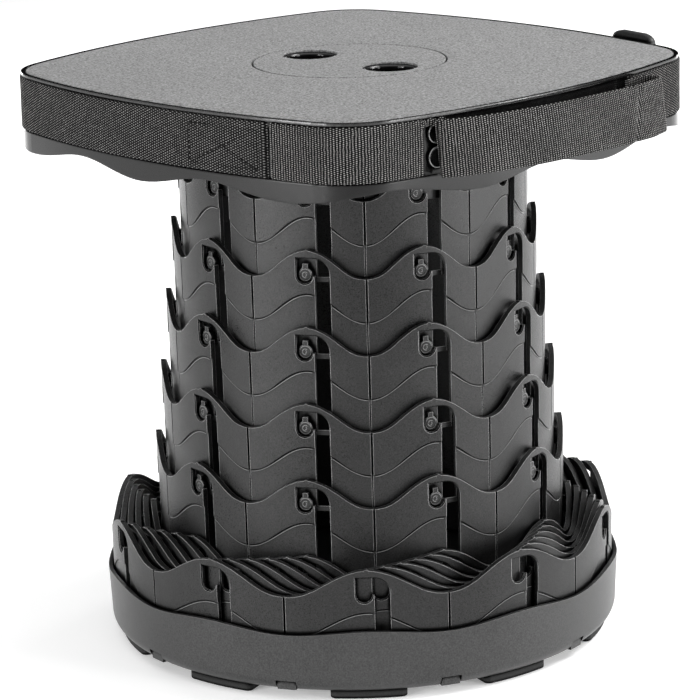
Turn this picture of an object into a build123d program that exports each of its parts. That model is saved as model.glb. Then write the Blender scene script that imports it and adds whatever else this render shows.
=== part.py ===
from build123d import *
from math import atan2, cos, degrees, radians, sin, sqrt, tan
import os

# Telescopic camp stool. Eleven nested ring sections stand in a round base cup and carry
# a rounded square seat. Each section hangs its lock pins in the J-shaped openings of the
# next larger one. Modelled with the upper half drawn out and locked, in millimetres,
# +Z up, with the origin on the floor under the centre. Angles are measured from +X.

os.makedirs("parts", exist_ok=True)

# ---- driving dimensions -------------------------------------------------------------
SECTIONS = 11
PANELS = 10
PANEL_ANGLE = 360 / PANELS
HALF_PANEL = PANEL_ANGLE / 2

OUTER_SECTION_RADIUS = 122.7
RADIAL_STEP = 3.85
WALL = 2.6
PANEL_DOME_LOSS = 0.5
FLARE = 0.4

SECTION_HEIGHT = 50.8
PITCH = 35.3
NEST_CREST_Z = 62.8
NEST_BOTTOM_Z = NEST_CREST_Z - SECTION_HEIGHT
WAVE_DROP = 13.4
BAND_HEIGHT = 20
BAND_STEP = 0.5
SEAM_WIDTH = 1.1
SEAM_DEPTH = 1.2
NUB_RADIUS = 1.3
NUB_RISE = 0.5
WAVE_OVERLAP = 0.01
CUT_MARGIN = 1

DRAWN_OUT = 5
DRAWN_CREST_ANGLE = -104.7
LOCK_ARC = 8.3

# J-shaped opening, measured from the middle of a panel and down from its crest
NOTCH_X = -1.1
NOTCH_RADIUS = 3.8
PIN_DROP = 11.6
PIN_RADIUS = 3.3
PIN_TAB_WIDTH = 2.4
PIN_TAB_TOP = 5.2
PIN_CLEARANCE = 0.3
SLOT_LEFT = 3.6
SLOT_RIGHT = 10.8
SLOT_BOTTOM_DROP = 48.4
OPENING_TOP_DROP = 3.6
OPENING_ARC = 7.5
TONGUE_DROP = 12
LEDGE_WIDTH = 0.5
LEDGE_DEPTH = 0.6
CHANNEL_FLOOR_DEPTH = 2.05
CHANNEL_HALF_WIDTH = 3.6

# base
CUP_RADIUS = 125
CUP_WALL = 1.9
CUP_BOTTOM_Z = 4
CUP_RIM_CREST_Z = 34.3
CUP_RIM_WAVE = 2.6
CUP_EDGE_RADIUS = 6
CUP_DRAFT = 1.2
CUP_FLANGE_INNER = 103
CUP_FLANGE_THICKNESS = 2.2
PLATE_THICKNESS = 2.6
PLATE_RADIUS = 122.4
PLATE_CLEARANCE = 0.5
RIB_THICKNESS = 1.8
FOOT_LENGTH_ANGLE = 17.5
FOOT_INNER = 106
FOOT_OUTER = 119.5
FOOT_CORNER = 3
FOOT_EDGE = 0.8
CLIP_WIDTH = 9
CLIP_CLEARANCE = 0.2
CLIP_NOTCH_WIDTH = 10
CLIP_THICKNESS = 2.4
CLIP_REACH = 14
RIB_INSET = 0.6
RIB_RADII = (26, 64, 101)

# seat
SEAT_TOP_Z = 276.4
SEAT_MID_SIDE = 128
SEAT_SIDE_BULGE_RADIUS = 400
SEAT_CORNER_RADIUS = 31
PAD_THICKNESS = 2.4
SEAT_PLATE = 2
RIM_OUT = 2.2
RIM_WIDTH = 2
CHANNEL_OUT = 1
SHELL_INSIDE = -1
STRAP_GAP = 0.1
STRAP_THICKNESS = 1.8
STRAP_WIDTH = 25
STRAP_TOP_DROP = 2.1
CHANNEL_MARGIN = 0.4
SKIRT_DROP = 37
SKIRT_WAVE = 5.6
SKIRT_LOW_ANGLE = -101.5
COLLAR_CLEARANCE = 0.05

DISC_RADIUS = 45.7
DISC_GAP = 0.9
DISC_LEDGE = 2.8
DISC_LEDGE_THICKNESS = 1
DISC_PAD = 1.2
FINGER_RADIUS = 11.8
FINGER_WALL = 1.6
FINGER_LIP = 1.3
FINGER_DEPTH = 19
FINGER_OFFSET = 27.2
FINGER_ANGLE = -46

SKIRT_CUT_START = 110
GUSSET_INNER = 128
GUSSET_HEIGHT = 18
GUSSET_SPREAD = 9
GUSSET_LENGTH = 60
RIM_BELOW_PAD = 0.3

# strap layout round the seat
REAR_STRAP_END = -105.6
FRONT_STRAP_START = -103.4
FRONT_STRAP_END = -78.6
RIGHT_STRAP_START = -20.3
STRAP_SLOT_MIDDLE = 140
STRAP_SLOT_DEPTH = 24
STRAP_SLOT_WIDTH = 1.6
STRAP_SLOT_SPACING = 0.7
CARRY_DROP = 1.5
CARRY_CLOSE = 4.1
CARRY_START_SWING = 7.2
CARRY_TURN_SWING = 8.6
CARRY_TURN_RADIUS = 5.2
CARRY_MIDDLE_SWING = 1
CARRY_MIDDLE_OUT = 15.5
CARRY_END_SWING = -10.4
CARRY_END_OUT = 3.8
SLIDER_ANGLE = 16.3
SLIDER_SWING = -9.7
SLIDER_LENGTH = 30
SLIDER_HEIGHT = 37
SLIDER_THICKNESS = 4
SLIDER_BAR = 4.5
SLIDER_CORNER = 9
SLIDER_GAP = 0.4
SLIDER_EDGE = 1
POST_SWING = -10.2
POST_RADIUS = 4.9
POST_RISE = 1.4
POST_SPACING = 10.7
POST_DROP = 12
REACH = 260
FAN_ANGLE = 60
DIAGONAL_INSET = 1 - sqrt(0.5)


def polar(radius, angle):
    """Point at a radius and an angle in degrees."""
    return (radius * cos(radians(angle)), radius * sin(radians(angle)))


def radial_plane(distance):
    """Upright plane that faces along +X: its own X runs along +Y and its own Y is up."""
    return Plane(origin=(distance, 0, 0), x_dir=(0, 1, 0), z_dir=(1, 0, 0))


def profile_plane(angle):
    """Upright plane through the axis whose X points at the given angle."""
    return Plane(origin=(0, 0, 0), x_dir=(*polar(1, angle), 0), z_dir=(*polar(1, angle - 90), 0))


def finish_part(name, builder):
    """Label a finished piece and write it."""
    builder.part.label = name
    export_step(builder.part, f"parts/{name}.step")


# ---- ring sections ------------------------------------------------------------------
def section_radius(number):
    """Radius at the panel edges of section 1, the outermost, to the seat collar, 12."""
    return OUTER_SECTION_RADIUS - (number - 1) * RADIAL_STEP


def lock_turn(number):
    """Angle between a pin in its slot and the same pin in its notch."""
    return degrees(LOCK_ARC / section_radius(number))


def crest_angle(number):
    """Direction of one crest. Nested sections stand a lock turn apart."""
    nested = range(number, SECTIONS - DRAWN_OUT)
    return DRAWN_CREST_ANGLE - sum(lock_turn(n) for n in nested)


def bottom_height(number):
    """Height of a section's lower edge with the upper five drawn out."""
    raised = max(0, number - (SECTIONS - DRAWN_OUT))
    return NEST_BOTTOM_Z + raised * PITCH


def panel_face(outer, wall, height, seam=True):
    """Plan of one panel about +X: a shallow arc outside and inside, thinned at the seams."""
    near = HALF_PANEL - degrees(SEAM_WIDTH / 2 / outer) if seam else HALF_PANEL
    inner = outer - wall
    with BuildSketch(Plane.XY.offset(height)) as plan:
        with BuildLine():
            arc = ThreePointArc(polar(outer, -near), (outer - PANEL_DOME_LOSS, 0), polar(outer, near))
            back = ThreePointArc(
                polar(inner, HALF_PANEL), (inner - PANEL_DOME_LOSS, 0), polar(inner, -HALF_PANEL)
            )
            if seam:
                Polyline(arc @ 1, polar(outer - SEAM_DEPTH, HALF_PANEL), back @ 0)
                Polyline(back @ 1, polar(outer - SEAM_DEPTH, -HALF_PANEL), arc @ 0)
            else:
                Line(arc @ 1, back @ 0)
                Line(back @ 1, arc @ 0)
        make_face()
    return plan.sketch.face()


def wave_face(plane, half, crest, drop, far):
    """Upright face between one wave, crest in the middle, and a level line at far."""
    low, middle = crest - drop, crest - drop / 2
    with BuildSketch(plane) as upright:
        with BuildLine():
            wave = Spline(
                (-half, low),
                (-half / 2, middle),
                (0, crest),
                (half / 2, middle),
                (half, low),
                tangents=[(1, 0), (1, 0)],
            )
            Polyline(wave @ 1, (half, far), (-half, far), wave @ 0)
        make_face()
    return upright.sketch.face()


def wave_region(radius, crest, drop, far):
    """Solid between one wave of a rim and the level far, as wide as a panel."""
    half = radius * sin(radians(HALF_PANEL)) + WAVE_OVERLAP
    with BuildPart() as region:
        extrude(wave_face(radial_plane(radius - 4 * WALL), half, crest, drop, far), amount=8 * WALL)
    return region.part


def opening_face(distance, crest, grow=0):
    """J-shaped opening: a round notch joined over a tongue to a long slot."""
    notch_radius = NOTCH_RADIUS + grow
    right, arc_radius = SLOT_RIGHT + grow, OPENING_ARC + grow
    left = NOTCH_X - notch_radius
    pin_y = crest - PIN_DROP
    top = crest - OPENING_TOP_DROP + grow
    tongue_y = crest - TONGUE_DROP
    slot_bottom = crest - SLOT_BOTTOM_DROP - grow
    meet_x = NOTCH_X + sqrt(notch_radius**2 - (pin_y - tongue_y) ** 2)
    arc_start = (right - arc_radius, top)
    arc_end = (right, top - arc_radius)
    arc_inset = arc_radius * DIAGONAL_INSET
    with BuildSketch(radial_plane(distance)) as opening:
        with BuildLine():
            Polyline((left, pin_y), (left, top), arc_start)
            ThreePointArc(arc_start, (right - arc_inset, top - arc_inset), arc_end)
            Polyline(
                arc_end,
                (right, slot_bottom),
                (SLOT_LEFT, slot_bottom),
                (SLOT_LEFT, tongue_y),
                (meet_x, tongue_y),
            )
            ThreePointArc((meet_x, tongue_y), (NOTCH_X, pin_y - notch_radius), (left, pin_y))
        make_face()
    return opening.sketch


def channel_face(distance, centre_x, bottom, top):
    """Guide channel on the inner face, open at the section's lower edge."""
    start = bottom - 2 * CUT_MARGIN
    with BuildSketch(radial_plane(distance)) as strip:
        with Locations((centre_x, (start + top) / 2)):
            Rectangle(2 * CHANNEL_HALF_WIDTH, top - start)
    return strip.sketch


def pin_face(distance, bottom):
    """Lock pin near a section's lower edge, with the small tab over its head."""
    pin_y = bottom + SECTION_HEIGHT - PITCH - PIN_DROP
    with BuildSketch(radial_plane(distance)) as pin:
        with Locations((NOTCH_X, pin_y)):
            Circle(PIN_RADIUS)
        with Locations((NOTCH_X, pin_y + PIN_TAB_TOP / 2)):
            Rectangle(PIN_TAB_WIDTH, PIN_TAB_TOP)
    return pin.sketch


def nub_face(distance, crest):
    """Small round nub that tops each crest."""
    with BuildSketch(radial_plane(distance)) as nub:
        with Locations((0, crest + NUB_RISE - NUB_RADIUS)):
            Circle(NUB_RADIUS)
    return nub.sketch


def wall_panel(outer, bottom, top):
    """Plain flared panel of a section's wall."""
    with BuildPart() as panel:
        loft([panel_face(outer - FLARE, WALL, bottom), panel_face(outer, WALL, top)], ruled=True)
    return panel.part


def skin_below_band(outer, bottom, crest):
    """Thin skin outside a section's wall, from its lower edge up to the wavy band."""
    depth = WALL + BAND_STEP
    low = panel_face(outer - FLARE + WALL, depth, bottom - CUT_MARGIN, seam=False)
    high = panel_face(outer + WALL, depth, crest, seam=False)
    with BuildPart() as skin:
        loft([low, high], ruled=True)
        add(wave_region(outer, crest - BAND_HEIGHT, WAVE_DROP, crest + CUT_MARGIN), mode=Mode.SUBTRACT)
    return skin.part


def section_panel(number):
    """One panel of a section with its wave, band, opening, channels, nub and pin."""
    outer = section_radius(number)
    bottom = bottom_height(number)
    crest = bottom + SECTION_HEIGHT
    inside = outer - 3 * WALL
    channel_depth = 3 * WALL - CHANNEL_FLOOR_DEPTH
    slot_x = (SLOT_LEFT + SLOT_RIGHT) / 2
    ledge = outer - PANEL_DOME_LOSS - LEDGE_DEPTH
    pin_start = outer - PANEL_DOME_LOSS - FLARE - WALL / 2
    pin_end = outer + RADIAL_STEP - CHANNEL_FLOOR_DEPTH - PIN_CLEARANCE
    with BuildPart() as panel:
        add(wall_panel(outer, bottom, crest))
        add(wave_region(outer, crest, WAVE_DROP, crest + CUT_MARGIN), mode=Mode.SUBTRACT)
        add(skin_below_band(outer, bottom, crest), mode=Mode.SUBTRACT)
        extrude(opening_face(inside, crest), amount=6 * WALL, mode=Mode.SUBTRACT)
        extrude(opening_face(ledge, crest, LEDGE_WIDTH), amount=2 * WALL, mode=Mode.SUBTRACT)
        for x in (NOTCH_X, slot_x):
            strip = channel_face(inside, x, bottom, crest - PIN_DROP)
            extrude(strip, amount=channel_depth, mode=Mode.SUBTRACT)
        extrude(nub_face(outer - WALL, crest), amount=WALL - PANEL_DOME_LOSS)
        if number > 1:
            extrude(pin_face(pin_start, bottom), amount=pin_end - pin_start)
    return panel.part


def ring_of(panel, start):
    """Whole ring from one panel."""
    with BuildPart() as ring:
        with PolarLocations(0, PANELS, start_angle=start):
            add(panel)
    return ring


for number in range(1, SECTIONS + 1):
    section = ring_of(section_panel(number), crest_angle(number))
    finish_part(f"section_{number:02d}", section)


# ---- seat collar --------------------------------------------------------------------
def collar_panel():
    """Panel of the ring under the seat, plain topped, with lock pins."""
    outer = section_radius(SECTIONS + 1)
    bottom = bottom_height(SECTIONS + 1)
    top = SEAT_TOP_Z - PAD_THICKNESS - SEAT_PLATE - COLLAR_CLEARANCE
    pin_start = outer - PANEL_DOME_LOSS - FLARE - WALL / 2
    pin_end = outer + RADIAL_STEP - CHANNEL_FLOOR_DEPTH - PIN_CLEARANCE
    with BuildPart() as panel:
        add(wall_panel(outer, bottom, top))
        extrude(pin_face(pin_start, bottom), amount=pin_end - pin_start)
    return panel.part


seat_collar = ring_of(collar_panel(), crest_angle(SECTIONS))
finish_part("seat_collar", seat_collar)


# ---- base ---------------------------------------------------------------------------
base_crest = crest_angle(1)
base_seam = base_crest + HALF_PANEL
plate_top = NEST_BOTTOM_Z - PLATE_CLEARANCE
plate_bottom = plate_top - PLATE_THICKNESS
cup_outside = CUP_RADIUS - CUP_DRAFT
arc_inset = CUP_EDGE_RADIUS * DIAGONAL_INSET
inner_edge = CUP_EDGE_RADIUS - CUP_WALL
inner_arc_inset = inner_edge * DIAGONAL_INSET
cup_wave = wave_region(
    CUP_RADIUS, CUP_RIM_CREST_Z, CUP_RIM_WAVE, CUP_RIM_CREST_Z + CUT_MARGIN
)
cup_inside = CUP_RADIUS - CUP_WALL
flange_top = CUP_BOTTOM_Z + CUP_FLANGE_THICKNESS
with BuildPart() as cup_panel:
    with BuildSketch(profile_plane(-HALF_PANEL)):
        with BuildLine():
            Polyline(
                (cup_outside - CUP_EDGE_RADIUS, CUP_BOTTOM_Z),
                (CUP_FLANGE_INNER, CUP_BOTTOM_Z),
                (CUP_FLANGE_INNER, flange_top),
                (cup_inside - inner_edge, flange_top),
            )
            ThreePointArc(
                (cup_inside - inner_edge, flange_top),
                (cup_inside - inner_arc_inset, flange_top + inner_arc_inset),
                (cup_inside, flange_top + inner_edge),
            )
            Polyline(
                (cup_inside, flange_top + inner_edge),
                (cup_inside, CUP_RIM_CREST_Z),
                (CUP_RADIUS, CUP_RIM_CREST_Z),
                (cup_outside, CUP_BOTTOM_Z + CUP_EDGE_RADIUS),
            )
            ThreePointArc(
                (cup_outside, CUP_BOTTOM_Z + CUP_EDGE_RADIUS),
                (cup_outside - arc_inset, CUP_BOTTOM_Z + arc_inset),
                (cup_outside - CUP_EDGE_RADIUS, CUP_BOTTOM_Z),
            )
        make_face()
    revolve(axis=Axis.Z, revolution_arc=PANEL_ANGLE)
    add(cup_wave, mode=Mode.SUBTRACT)
    with BuildSketch(Plane.XY.offset(CUP_BOTTOM_Z)):
        with PolarLocations(CUP_RADIUS, 2, start_angle=-HALF_PANEL, angular_range=2 * PANEL_ANGLE):
            Rectangle(CLIP_REACH, CLIP_NOTCH_WIDTH)
    extrude(amount=plate_bottom - CUP_BOTTOM_Z + CLIP_CLEARANCE, mode=Mode.SUBTRACT)
base_cup = ring_of(cup_panel.part, base_crest)
finish_part("base_cup", base_cup)

rib_bottom = CUP_BOTTOM_Z + RIB_INSET
rib_height = plate_bottom - rib_bottom
with BuildPart() as base_plate:
    with BuildSketch(Plane.XY.offset(plate_bottom)):
        Circle(PLATE_RADIUS)
    extrude(amount=PLATE_THICKNESS)
    for rib_radius in RIB_RADII:
        with BuildSketch(Plane.XY.offset(rib_bottom)):
            Circle(rib_radius)
            Circle(rib_radius - RIB_THICKNESS, mode=Mode.SUBTRACT)
        extrude(amount=rib_height)
    with BuildSketch(Plane.XY.offset(rib_bottom)):
        with PolarLocations(RIB_RADII[-1] / 2, PANELS, start_angle=base_crest):
            Rectangle(RIB_RADII[-1] - RIB_THICKNESS, RIB_THICKNESS)
    extrude(amount=rib_height)
    with BuildSketch(Plane.XY.offset(rib_bottom)):
        with PolarLocations(PLATE_RADIUS - CLIP_THICKNESS / 2, PANELS, start_angle=base_seam):
            Rectangle(CLIP_THICKNESS, CLIP_WIDTH)
    extrude(amount=rib_height)
finish_part("base_plate", base_plate)


with BuildPart() as foot:
    with BuildSketch():
        with BuildLine():
            half_foot = FOOT_LENGTH_ANGLE / 2
            toe = ThreePointArc(
                polar(FOOT_OUTER, -half_foot), (FOOT_OUTER, 0), polar(FOOT_OUTER, half_foot)
            )
            heel = ThreePointArc(
                polar(FOOT_INNER, half_foot), (FOOT_INNER, 0), polar(FOOT_INNER, -half_foot)
            )
            Line(toe @ 1, heel @ 0)
            Line(heel @ 1, toe @ 0)
        make_face()
    extrude(amount=CUP_BOTTOM_Z)
    fillet(foot.edges().filter_by(Axis.Z), FOOT_CORNER)
    fillet(foot.faces().sort_by(Axis.Z)[0].edges(), FOOT_EDGE)
with BuildPart() as base_feet:
    with PolarLocations(0, PANELS, start_angle=base_crest):
        add(foot.part)
finish_part("base_feet", base_feet)


# ---- seat ---------------------------------------------------------------------------
side_centre = SEAT_MID_SIDE - SEAT_SIDE_BULGE_RADIUS
corner_gap = SEAT_SIDE_BULGE_RADIUS - SEAT_CORNER_RADIUS
corner_offset = (side_centre + sqrt(2 * corner_gap**2 - side_centre**2)) / 2
side_swing = degrees(atan2(corner_offset, corner_offset - side_centre))


def side_point(middle, swing, out):
    """Point on the bulging side that faces middle, swung along its arc and moved out."""
    x, y = polar(side_centre, middle)
    dx, dy = polar(SEAT_SIDE_BULGE_RADIUS + out, middle + swing)
    return (x + dx, y + dy)


def corner_point(facing, swing, out):
    """Point on the round corner that faces the given angle, swung along its arc."""
    x, y = polar(corner_offset * sqrt(2), facing)
    dx, dy = polar(SEAT_CORNER_RADIUS + out, facing + swing)
    return (x + dx, y + dy)


def seat_plan(out, height=0):
    """Square with bulging sides and round corners on the X and Y axes, grown by out."""
    with BuildSketch(Plane.XY.offset(height)) as plan:
        with BuildLine():
            for middle in (45, 135, 225, 315):
                side = ThreePointArc(
                    side_point(middle, -side_swing, out),
                    side_point(middle, 0, out),
                    side_point(middle, side_swing, out),
                )
                ThreePointArc(
                    side @ 1,
                    corner_point(middle + 45, 0, out),
                    side_point(middle + 90, -side_swing, out),
                )
        make_face()
    return plan.sketch


def seat_slab(out, low, high, mode=Mode.ADD):
    """Slab with the seat's outline."""
    extrude(seat_plan(out, low), amount=high - low, mode=mode)


def wedge(start, end):
    """Plan of a sector from one angle anticlockwise to another."""
    steps = max(1, round((end - start) / FAN_ANGLE))
    fan = [polar(REACH, start + (end - start) * i / steps) for i in range(steps + 1)]
    with BuildSketch() as sector:
        with BuildLine():
            Polyline((0, 0), *fan, close=True)
        make_face()
    return sector.sketch


def skirt_wave():
    """Region below one wave of the skirt, low at its middle."""
    near = SKIRT_CUT_START * cos(radians(HALF_PANEL))
    far = REACH * cos(radians(HALF_PANEL))
    spread = tan(radians(HALF_PANEL))
    low = SEAT_TOP_Z - SKIRT_DROP
    faces = [
        wave_face(radial_plane(distance), distance * spread, low, -SKIRT_WAVE, low - SKIRT_WAVE)
        for distance in (near, far)
    ]
    with BuildPart() as region:
        loft(faces, ruled=True)
    return region.part


plate_under = SEAT_TOP_Z - PAD_THICKNESS - SEAT_PLATE
skirt_bottom = SEAT_TOP_Z - SKIRT_DROP
strap_top = SEAT_TOP_Z - STRAP_TOP_DROP
strap_bottom = strap_top - STRAP_WIDTH
pad_bottom = SEAT_TOP_Z - PAD_THICKNESS
rim_top = SEAT_TOP_Z - RIM_BELOW_PAD
slot_angles = (
    (REAR_STRAP_END + FRONT_STRAP_START) / 2,
    FRONT_STRAP_END + STRAP_SLOT_SPACING,
    RIGHT_STRAP_START - STRAP_SLOT_SPACING,
)
skirt_cutter = skirt_wave()

with BuildPart() as seat_shell:
    seat_slab(RIM_OUT, skirt_bottom, rim_top)
    seat_slab(SHELL_INSIDE, skirt_bottom, plate_under, Mode.SUBTRACT)
    seat_slab(RIM_OUT - RIM_WIDTH, pad_bottom, rim_top, Mode.SUBTRACT)
    with BuildSketch(Plane.XY.offset(strap_bottom - CHANNEL_MARGIN)):
        Circle(REACH)
        add(seat_plan(CHANNEL_OUT), mode=Mode.SUBTRACT)
    extrude(amount=STRAP_WIDTH + 2 * CHANNEL_MARGIN, mode=Mode.SUBTRACT)
    with PolarLocations(0, PANELS, start_angle=SKIRT_LOW_ANGLE):
        add(skirt_cutter, mode=Mode.SUBTRACT)
    with BuildSketch(Plane.XY.offset(plate_under + DISC_LEDGE_THICKNESS)):
        Circle(DISC_RADIUS + DISC_GAP)
    extrude(amount=SEAT_PLATE, mode=Mode.SUBTRACT)
    with BuildSketch(Plane.XY.offset(plate_under)):
        Circle(DISC_RADIUS - DISC_LEDGE)
    extrude(amount=SEAT_PLATE, mode=Mode.SUBTRACT)
    with BuildSketch(Plane.XY.offset(strap_bottom)):
        for slot_angle in slot_angles:
            with PolarLocations(STRAP_SLOT_MIDDLE, 1, start_angle=slot_angle):
                Rectangle(STRAP_SLOT_DEPTH, STRAP_SLOT_WIDTH)
    extrude(amount=plate_under - strap_bottom, mode=Mode.SUBTRACT)
    with BuildSketch(Plane.XY.offset(plate_under - GUSSET_HEIGHT)):
        for corner_angle in range(0, 360, 90):
            first = corner_angle - GUSSET_SPREAD
            with PolarLocations(GUSSET_INNER, 3, start_angle=first, angular_range=3 * GUSSET_SPREAD):
                Rectangle(GUSSET_LENGTH, RIB_THICKNESS)
        add(seat_plan((SHELL_INSIDE + CHANNEL_OUT) / 2), mode=Mode.INTERSECT)
        Circle(GUSSET_INNER, mode=Mode.SUBTRACT)
    extrude(amount=GUSSET_HEIGHT + SEAT_PLATE / 2)
finish_part("seat_shell", seat_shell)

with BuildPart() as seat_pad:
    seat_slab(RIM_OUT - RIM_WIDTH - STRAP_GAP, pad_bottom, SEAT_TOP_Z)
    with BuildSketch(Plane.XY.offset(pad_bottom)):
        Circle(DISC_RADIUS + DISC_GAP)
    extrude(amount=PAD_THICKNESS, mode=Mode.SUBTRACT)
finish_part("seat_pad", seat_pad)

with BuildPart() as grip_disc:
    with BuildSketch(Plane.XY.offset(plate_under + DISC_LEDGE_THICKNESS)):
        Circle(DISC_RADIUS)
    extrude(amount=SEAT_TOP_Z - DISC_PAD - plate_under - DISC_LEDGE_THICKNESS)
    with BuildSketch(Plane.XY.offset(SEAT_TOP_Z - FINGER_DEPTH)):
        with PolarLocations(FINGER_OFFSET, 2, start_angle=FINGER_ANGLE):
            Circle(FINGER_RADIUS + FINGER_WALL)
    extrude(amount=FINGER_DEPTH - DISC_PAD)
    with BuildSketch(Plane.XY.offset(SEAT_TOP_Z - FINGER_DEPTH + FINGER_WALL)):
        with PolarLocations(FINGER_OFFSET, 2, start_angle=FINGER_ANGLE):
            Circle(FINGER_RADIUS)
    extrude(amount=FINGER_DEPTH, mode=Mode.SUBTRACT)
    holes = grip_disc.faces().sort_by(Axis.Z)[-1].inner_wires()
    fillet([edge for hole in holes for edge in hole.edges()], FINGER_LIP)
finish_part("grip_disc", grip_disc)

with BuildPart() as grip_disc_pad:
    with BuildSketch(Plane.XY.offset(SEAT_TOP_Z - DISC_PAD)):
        Circle(DISC_RADIUS)
        with PolarLocations(FINGER_OFFSET, 2, start_angle=FINGER_ANGLE):
            Circle(FINGER_RADIUS + FINGER_LIP, mode=Mode.SUBTRACT)
    extrude(amount=DISC_PAD)
finish_part("grip_disc_pad", grip_disc_pad)

# ---- straps -------------------------------------------------------------------------
strap_inside = CHANNEL_OUT + STRAP_GAP
strap_outside = strap_inside + STRAP_THICKNESS


def strap_in_channel(start, end):
    """Webbing that lies in the channel from one angle anticlockwise to another."""
    with BuildPart() as strap:
        with BuildSketch(Plane.XY.offset(strap_bottom)):
            add(seat_plan(strap_outside))
            add(seat_plan(strap_inside), mode=Mode.SUBTRACT)
            add(wedge(start, end), mode=Mode.INTERSECT)
        extrude(amount=STRAP_WIDTH)
    return strap


strap_rear = strap_in_channel(SLIDER_ANGLE, 360 + REAR_STRAP_END)
finish_part("strap_rear", strap_rear)
strap_front = strap_in_channel(FRONT_STRAP_START, FRONT_STRAP_END)
finish_part("strap_front", strap_front)

strap_right = strap_in_channel(RIGHT_STRAP_START, SLIDER_ANGLE)
finish_part("strap_right", strap_right)

carry_far = CARRY_CLOSE + 2 * CARRY_TURN_RADIUS
turn_tip = CARRY_TURN_SWING + degrees(CARRY_TURN_RADIUS / SEAT_SIDE_BULGE_RADIUS)
with BuildPart() as carry_strap:
    with BuildSketch(Plane.XY.offset(strap_bottom - CARRY_DROP)):
        with BuildLine():
            Line(
                side_point(-45, CARRY_START_SWING, CARRY_CLOSE),
                side_point(-45, CARRY_TURN_SWING, CARRY_CLOSE),
            )
            ThreePointArc(
                side_point(-45, CARRY_TURN_SWING, CARRY_CLOSE),
                side_point(-45, turn_tip, CARRY_CLOSE + CARRY_TURN_RADIUS),
                side_point(-45, CARRY_TURN_SWING, carry_far),
            )
            ThreePointArc(
                side_point(-45, CARRY_TURN_SWING, carry_far),
                side_point(-45, CARRY_MIDDLE_SWING, CARRY_MIDDLE_OUT),
                side_point(-45, CARRY_END_SWING, CARRY_END_OUT),
            )
        trace(line_width=STRAP_THICKNESS)
    extrude(amount=STRAP_WIDTH)
finish_part("carry_strap", carry_strap)


def wall_plane(middle, swing, out, height):
    """Upright plane on a side of the seat, facing outwards."""
    x, y = side_point(middle, swing, out)
    along, normal = polar(1, middle + swing + 90), polar(1, middle + swing)
    return Plane(origin=(x, y, height), x_dir=(*along, 0), z_dir=(*normal, 0))


slider_face = strap_outside + SLIDER_GAP
strap_centre = (strap_top + strap_bottom) / 2
with BuildPart() as strap_slider:
    with BuildSketch(wall_plane(45, SLIDER_SWING, slider_face, strap_centre)):
        RectangleRounded(SLIDER_LENGTH, SLIDER_HEIGHT, SLIDER_CORNER)
        with GridLocations((SLIDER_LENGTH - SLIDER_BAR) / 2, 0, 2, 1):
            Rectangle(
                (SLIDER_LENGTH - 3 * SLIDER_BAR) / 2,
                SLIDER_HEIGHT - 2 * SLIDER_BAR,
                mode=Mode.SUBTRACT,
            )
    extrude(amount=SLIDER_THICKNESS)
    front_face = strap_slider.faces().sort_by(Axis((0, 0, 0), (1, 1, 0)))[-1]
    fillet(front_face.outer_wire().edges(), SLIDER_EDGE)
finish_part("strap_slider", strap_slider)

with BuildPart() as strap_posts:
    with BuildSketch(wall_plane(-45, POST_SWING, CHANNEL_OUT, strap_top - POST_DROP)):
        with GridLocations(0, POST_SPACING, 1, 2):
            Circle(POST_RADIUS)
    extrude(amount=POST_RISE)
finish_part("strap_posts", strap_posts)
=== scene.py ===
from math import atan2, ceil, copysign, cos, degrees, exp, floor, pi, radians, sin, sqrt

import bpy
from mathutils import Euler, Matrix, Vector
from mathutils.geometry import interpolate_bezier


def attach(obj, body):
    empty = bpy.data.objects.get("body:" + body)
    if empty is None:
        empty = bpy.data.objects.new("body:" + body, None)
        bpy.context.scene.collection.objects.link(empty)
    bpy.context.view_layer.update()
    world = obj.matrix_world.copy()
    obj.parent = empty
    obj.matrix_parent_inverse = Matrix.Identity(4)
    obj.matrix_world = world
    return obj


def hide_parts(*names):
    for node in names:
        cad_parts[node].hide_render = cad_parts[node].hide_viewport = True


# Telescopic camp stool with a rounded square seat. Lengths are millimetres and become
# metres when a mesh is made, but the floor and the lamps are placed in metres. Angles are
# degrees from +X. +Z is up and -Y is the front.

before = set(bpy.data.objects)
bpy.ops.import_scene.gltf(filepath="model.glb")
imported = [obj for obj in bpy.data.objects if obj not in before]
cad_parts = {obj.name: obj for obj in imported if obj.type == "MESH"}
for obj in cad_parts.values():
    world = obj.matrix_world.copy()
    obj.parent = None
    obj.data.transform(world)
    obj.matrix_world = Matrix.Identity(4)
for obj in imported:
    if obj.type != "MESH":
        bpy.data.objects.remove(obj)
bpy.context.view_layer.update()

MM = 0.001

# ring sections, their lock pins and the beads below their bands
SECTIONS = 11
PANELS = 10
OUTER_SECTION_RADIUS = 122.7
RADIAL_STEP = 3.85
SECTION_HEIGHT = 50.8
PITCH = 35.3
NEST_BOTTOM_Z = 12
DRAWN_OUT = 5
DRAWN_CREST_ANGLE = -104.7
LOCK_ARC = 8.3
PIN_X = -1.1
PIN_RISE = 3.9
PIN_HEAD_OUT = 1.34
WAVE_DROP = 13.4
BAND_HEIGHT = 20
BAND_STEP = 0.5
FLARE = 0.4
PANEL_DOME_LOSS = 0.5
SLOT_LEFT = 3.6
SLOT_RIGHT = 10.8
BEAD_GAP = 0.95
BEAD_RADIUS = 0.32
BEAD_SUNK = 0.07
BEAD_END_GAP = 0.8
BEAD_STEP = 0.8

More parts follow.
